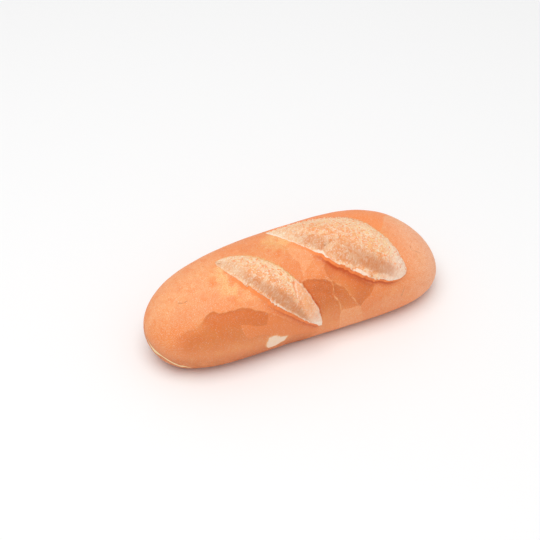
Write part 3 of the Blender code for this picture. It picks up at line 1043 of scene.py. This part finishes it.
RAGGED_FLOUR = (0.35, 1.3)                 # least reach of the flour, and its raggedness
STRAND_RELIEF = 0.2
CRUMB_RELIEF = (0.5, 2.0)                  # everywhere, and as much more where it is freckled
STRAND_SIZE = (0.48, 4.0, 1.0)             # millimetres along and across the bloom


def bloom_finish():
    """Dried crumb: cream, freckled orange above, drawn into strands and browner below, that brown band
    partly painted shade.
    """
    strengths = BLOOM_STRENGTHS
    finish = Finish("crumb", roughness=0.72, colour=CRUMB, fades=BLOOM_FADES)
    place = finish.millimetres()
    leaf = finish.millimetres("leaf")
    across = finish.part(leaf, "Y")
    share = finish.node("UVMap", {"uv_map": "share"})
    u = finish.part(share, "X")
    rise = finish.part(share, "Y")
    marks = finish.node("UVMap", {"uv_map": "band_lobe"})
    band = finish.part(marks, "X")
    lobe = finish.part(marks, "Y")
    flour, crease = finish.pair("flour_crease")

    risen = rise.fade("risen") * strengths["risen"]
    pale = risen.larger(u.fade("back tip") * strengths["back tip"])
    finish.cover(pale, CREAM)
    finish.cloud(place, BLOOM_CLOUDS)
    finish.cloud(place, HONEY_CLOUDS, rise.fade("honey"))
    finish.cover(lobe * strengths["lobe"], LOBE)
    fine = finish.vector("DIVIDE", leaf, STRAND_SIZE)
    strand = finish.noise(fine, size=1.0, detail=3.0)
    low = rise.fade("low").larger(u.fade("low back tip"))
    # The brown band on the lower slope: partly browner crumb, partly painted shade where the pillow
    # turns from the light
    finish.cover(band * strengths["band"], STRAND_BROWN_AND_SHADE)
    for kind, shade in (("pale strand", PALE_CRUMB), ("dark strand", STRAND_BROWN_AND_SHADE)):
        drawn = low * strand.fade(kind) * strengths[kind]
        finish.cover(drawn, shade)
    tip = u.fade("front tip") * (strengths["front tip"] - band * strengths["band at tip"])
    finish.cover(tip, TIP_CRUMB)

    freckled = rise.fade("freckled") * u.fade("off the back tip")
    freckled = freckled * (1 - lobe * strengths["freckles on lobe"])
    patches = finish.noise(place, size=5.0).fade("patches")
    finish.cloud(place, FRECKLES, freckled * patches)
    flecked = (1 - band * strengths["flecks on band"]) * (1 - lobe * strengths["flecks on lobe"])
    finish.cloud(place, FLECKS, flecked)

    ragged_line = finish.noise(leaf, size=1.6, detail=3.0)
    reach = flour * ragged_line.varied(*RAGGED_FLOUR)
    dusted = (reach - across).fade("flour") * strengths["flour"]
    finish.cover(dusted, FLOUR)
    top = rise.fade("top")
    golden = top * (1 - lobe) * u.fade("off the front tip") * strengths["top"]
    finish.cover(golden, YELLOW_CRUST)
    lobe_top = rise.fade("lobe top") * lobe * ragged_line * strengths["lobe top"]
    finish.cover(lobe_top, PALE_CRUMB)
    finish.cloud(place, RIM_CRACKS, top * (1 - lobe))
    # A painted highlight: a pale streak on the lobe's side of each crease, part way up
    crease_highlight = crease.fade("crease_highlight") * rise.between(*BESIDE_RISE)
    finish.cover(crease_highlight * lobe * strengths["crease_highlight"], PALE_CRUMB)
    ring = crease.fade("round") * rise.between(*ROUND_RISE)
    finish.cover(ring * (1 - lobe) * strengths["round"], FRECKLE)
    # Painted shade: a broken brown line in the lower part of each crease, and along the tear lines
    fold_shade = crease.fade("fold_shade") * finish.noise(place, size=2.0, detail=3.0).fade("broken")
    finish.cover(fold_shade * rise.fade("below") * (1 - lobe) * strengths["fold_shade"], BROWN)
    finish.connect("Base Color", finish.colour)

    grain = finish.noise(place, size=0.6, detail=3.0, roughness=ROUGH_NOISE)
    crumbs = finish.noise(place, size=1.35, detail=4.0, roughness=ROUGH_NOISE)
    relief = grain + low * strand * STRAND_RELIEF + crumbs * freckled.varied(*CRUMB_RELIEF)
    bump = finish.bump(relief, strength=0.50, distance=0.0007)
    finish.connect("Normal", bump)
    return finish.material


def make_bloom(side, material):
    """A pillow of crumb: its root in the pocket, and its swollen top over the crust."""
    score = SCORES[side]
    bloom = BLOOMS[side]

    def place(along, round):
        u = (1 - np.cos(math.pi * along)) / 2 * (1 - EVEN_RINGS) + along * EVEN_RINGS
        turn = (2 * round - 1) * math.pi
        width = leaf_width(score, u)
        tuck = np.minimum(BLOOM_TUCK, width / 4)
        share = 1 - np.abs(turn) / math.pi
        taper = np.sqrt(np.clip(4 * u * (1 - u), 0, 1))
        open_ring = taper > BLOOM_TIP
        across = ((width + 2 * tuck) * (1 - np.cos(math.pi * share)) / 2 - tuck) * open_ring
        spot = leaf_spot(score, u, across)
        root = -taper * (TUCK_DEPTH + (BLOOM_ROOT - TUCK_DEPTH) * np.sin(np.abs(turn)))
        on_top = (round > 0.5) & (round < BLOOM_CLOSES)
        lift = np.where(on_top, bloom_height(score, bloom, u, across, spot), root) * open_ring
        length = np.hypot(*leaf_axes(score)[1])
        share = across / width
        # Where the brown band lies, partly painted shade of the lower slope
        top = tabled(bloom["band_top"], u)
        foot = tabled(bloom["band_low"], u)
        band = smooth_step(share, *(foot + edge for edge in BAND_FOOT))
        band *= 1 - smooth_step(share, *(top + edge for edge in BAND_TOP))
        band *= tabled(bloom["band"], u)
        right, there = from_crease(score, bloom, u, share)
        lobe = bloom["lobe"] * smooth_step(right, *LOBE_EDGE)
        leaf = np.column_stack([u * length, across])
        crease = np.where(there > 0.5, np.abs(right), FAR_OFF)
        crease = np.minimum(crease, from_line(leaf, bloom["tear"]))
        flour = tabled(bloom["flour"], u) / PER_METRE
        return crust(spot, lift), {
            "leaf": leaf,
            "share": np.column_stack([u, share]),
            "band_lobe": np.column_stack([band, lobe]),
            "flour_crease": np.column_stack([flour, crease]),
        }

    made = mesh_object("bloom_" + side, rolled_up(BLOOM_RINGS, BLOOM_SIDES, place), material)
    made.data.shade_smooth()
    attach(made, "root")
    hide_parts("loaf")


crumb = bloom_finish()
for side in SCORES:
    make_bloom(side, crumb)

# ----------------------------------------
# The floor: a wide sheet of plain pale card for the loaf to lie on.
# ----------------------------------------
FLOOR_RADIUS = 3.0
FLOOR_SIDES = 64
CARD = (0.95, 0.95, 0.95, 1.0)
card = Finish("pale card", roughness=0.9)
card.shader.inputs["Base Color"].default_value = CARD
sheet = bmesh.new()
bmesh.ops.create_circle(sheet, cap_ends=True, segments=FLOOR_SIDES, radius=FLOOR_RADIUS)
floor = mesh_object("floor", sheet, card.material)

# ----------------------------------------
# The light: a white room and one large soft window high on the left.
# ----------------------------------------
WHITE = (1.0, 1.0, 1.0, 1.0)
ROOM_LIGHT = 0.60
KEY_FROM = Vector((-0.18, -0.15, 1.0))
KEY_DISTANCE = 1.6
KEY_SIZE = 1.4
KEY_POWER = 14.0

world = bpy.data.worlds.new("white room")
world.use_nodes = True
background = world.node_tree.nodes["Background"]
background.inputs["Color"].default_value = WHITE
background.inputs["Strength"].default_value = ROOM_LIGHT
bpy.context.scene.world = world

window = bpy.data.lights.new("window", "AREA")
window.shape = "DISK"
window.size = KEY_SIZE
window.energy = KEY_POWER
window_object = bpy.data.objects.new("window", window)
window_object.location = KEY_FROM.normalized() * KEY_DISTANCE
window_object.rotation_euler = KEY_FROM.to_track_quat("Z", "Y").to_euler()
bpy.context.scene.collection.objects.link(window_object)

# ----------------------------------------
# The camera: a long lens, a little left of the loaf's front and well above it.
# ----------------------------------------
CAMERA_AZIMUTH = math.radians(-26.25)
CAMERA_ELEVATION = math.radians(43.87)
CAMERA_DISTANCE = 0.95
CAMERA_MIDDLE = Vector((0.0, 0.0, 0.030)) - Vector(PLAN_MIDDLE)
CAMERA_AIM = Vector((-0.01197, 0.00709, 0.03556))    # the loaf stands right of and below this
FRAME_PIXELS = 540
FOCAL_PIXELS = 1410.3
SENSOR = 36.0

camera = bpy.data.cameras.new("camera")
camera.sensor_width = SENSOR
camera.lens = FOCAL_PIXELS / FRAME_PIXELS * SENSOR
camera_object = bpy.data.objects.new("camera", camera)
away = Vector((math.sin(CAMERA_AZIMUTH) * math.cos(CAMERA_ELEVATION),
               -math.cos(CAMERA_AZIMUTH) * math.cos(CAMERA_ELEVATION),
               math.sin(CAMERA_ELEVATION)))
camera_object.location = CAMERA_MIDDLE + away * CAMERA_DISTANCE
aim = camera_object.location - CAMERA_AIM
camera_object.rotation_euler = aim.to_track_quat("Z", "Y").to_euler()
bpy.context.scene.collection.objects.link(camera_object)
bpy.context.scene.camera = camera_object
bpy.context.scene.view_settings.view_transform = "Standard"
